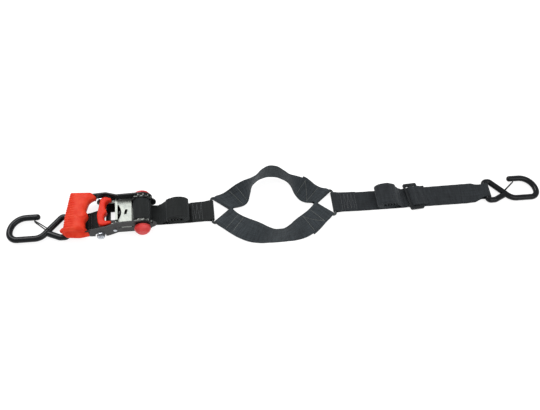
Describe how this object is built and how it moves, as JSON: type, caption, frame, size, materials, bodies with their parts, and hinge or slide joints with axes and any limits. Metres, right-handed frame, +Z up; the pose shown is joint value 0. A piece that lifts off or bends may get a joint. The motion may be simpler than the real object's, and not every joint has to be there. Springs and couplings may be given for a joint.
{
  "type": "ratchet tie down",
  "caption": "Ratchet tie-down for a motorcycle wheel: wide-grip ratchet with coated snap hook, rolled webbing, a two-sling wheel loop between rings, tri-glide and second snap hook.",
  "frame": {"origin": "on the flat underside of the ratchet base, straight below the spool axis", "axes": "+X along the strap from the ratchet's hook towards the adjuster's hook, +Y across the strap towards the side the hook tips are on, +Z up from the surface it lies on"},
  "size_m": [0.9297, 0.1319, 0.0388],
  "materials": {
    "black_steel": "satin black coating",
    "zinc_steel": "bright zinc plate",
    "grip_plastic": "fine-textured moulded plastic",
    "pull_plastic": "fine-textured moulded plastic",
    "knob_plastic": "smooth semi-gloss",
    "webbing": "woven polyester webbing",
    "sling_webbing": "woven polyester webbing, slightly faded",
    "hook_coating": "dipped vinyl coating, soft gloss",
    "gate_wire": "dark spring wire",
    "spring_steel": "oiled spring steel",
    "ring_steel": "gloss black coating",
    "glide_steel": "satin black coating"
  },
  "bodies": {
    "base": {"base_frame": "black_steel", "anchor_bolt": "zinc_steel", "anchor_nut": "zinc_steel", "anchor_sleeve": "zinc_steel", "lock_spring": "spring_steel", "lock_spring_seat": "zinc_steel"},
    "handle": {"handle_plate_far": "black_steel", "handle_plate_near": "black_steel", "handle_crossbar": "black_steel", "handle_rivets": "zinc_steel", "handle_spring_seat": "zinc_steel", "handle_grip": "grip_plastic", "pawl_spring": "spring_steel"},
    "pawl": {"release_pawl": "zinc_steel", "release_pull": "pull_plastic"},
    "lock": {"lock_plate": "zinc_steel"},
    "spool": {"spool_shaft_upper": "zinc_steel", "spool_shaft_lower": "zinc_steel", "ratchet_wheel_far": "zinc_steel", "ratchet_wheel_near": "zinc_steel", "knob_far": "knob_plastic", "knob_near": "knob_plastic", "axle_washers": "zinc_steel", "spool_webbing": "webbing"},
    "anchor_strap": {"fixed_strap": "webbing"},
    "ratchet_hook": {"left_hook": "hook_coating"},
    "ratchet_hook_gate": {"left_gate": "gate_wire"},
    "spool_strap": {"ratchet_strap": "webbing"},
    "ring_left": {"left_ring": "ring_steel"},
    "wheel_slings": {"near_sling": "sling_webbing", "far_sling": "sling_webbing"},
    "ring_right": {"right_ring": "ring_steel"},
    "long_strap": {"adjuster_strap": "webbing"},
    "glide": {"tri_glide": "glide_steel"},
    "adjuster_hook": {"right_hook": "hook_coating"},
    "adjuster_hook_gate": {"right_gate": "gate_wire"}
  },
  "joints": [
    {"name": "handle_pivot", "type": "hinge", "parent": "base", "child": "handle", "pos_m": [0, 0, 0.0188], "axis": [0, 1, 0], "range_deg": [0, 150]},
    {"name": "spool_spin", "type": "hinge", "parent": "base", "child": "spool", "pos_m": [0, 0, 0.0188], "axis": [0, 1, 0], "continuous": true},
    {"name": "pawl_release", "type": "slide", "parent": "handle", "child": "pawl", "axis": [1, 0, 0], "range_m": [-0.005, 0.0025], "deforming": ["pawl_spring"]},
    {"name": "lock_slide", "type": "slide", "parent": "base", "child": "lock", "axis": [1, 0, 0], "range_m": [-0.005, 0.0025], "deforming": ["lock_spring"]},
    {"name": "fixed_strap_swing", "type": "hinge", "parent": "base", "child": "anchor_strap", "pos_m": [-0.069, 0, 0.0076], "axis": [0, 1, 0], "range_deg": [-70, 0]},
    {"name": "left_hook_swing", "type": "hinge", "parent": "anchor_strap", "child": "ratchet_hook", "pos_m": [-0.1223, 0, 0.0074], "axis": [0, 1, 0], "range_deg": [-75, 10]},
    {"name": "left_gate_open", "type": "hinge", "parent": "ratchet_hook", "child": "ratchet_hook_gate", "pos_m": [-0.1539, -0.018, 0.0074], "axis": [0, 0, 1], "range_deg": [0, 28]},
    {"name": "ratchet_strap_lift", "type": "hinge", "parent": "base", "child": "spool_strap", "pos_m": [0, 0, 0.0188], "axis": [0, 1, 0], "range_deg": [-25, 0]},
    {"name": "left_ring_swing", "type": "hinge", "parent": "spool_strap", "child": "ring_left", "pos_m": [0.1166, 0, 0.0045], "axis": [0, 1, 0], "range_deg": [-60, 60]},
    {"name": "sling_lift", "type": "hinge", "parent": "ring_left", "child": "wheel_slings", "pos_m": [0.1341, 0, 0.0045], "axis": [0, 1, 0], "range_deg": [-25, 25]},
    {"name": "right_ring_lift", "type": "hinge", "parent": "wheel_slings", "child": "ring_right", "pos_m": [0.3125, 0, 0.0045], "axis": [0, 1, 0], "range_deg": [-25, 25]},
    {"name": "adjuster_strap_swing", "type": "hinge", "parent": "ring_right", "child": "long_strap", "pos_m": [0.33, 0, 0.0045], "axis": [0, 1, 0], "range_deg": [-60, 60]},
    {"name": "tri_glide_slide", "type": "slide", "parent": "long_strap", "child": "glide", "axis": [1, 0, 0], "range_m": [-0.006, 0.09]},
    {"name": "right_hook_swing", "type": "hinge", "parent": "long_strap", "child": "adjuster_hook", "pos_m": [0.609, 0, 0.0074], "axis": [0, 1, 0], "range_deg": [-75, 75]},
    {"name": "right_gate_open", "type": "hinge", "parent": "adjuster_hook", "child": "adjuster_hook_gate", "pos_m": [0.6406, -0.00425, 0.0074], "axis": [0, 0, -1], "range_deg": [0, 28]}
  ]
}
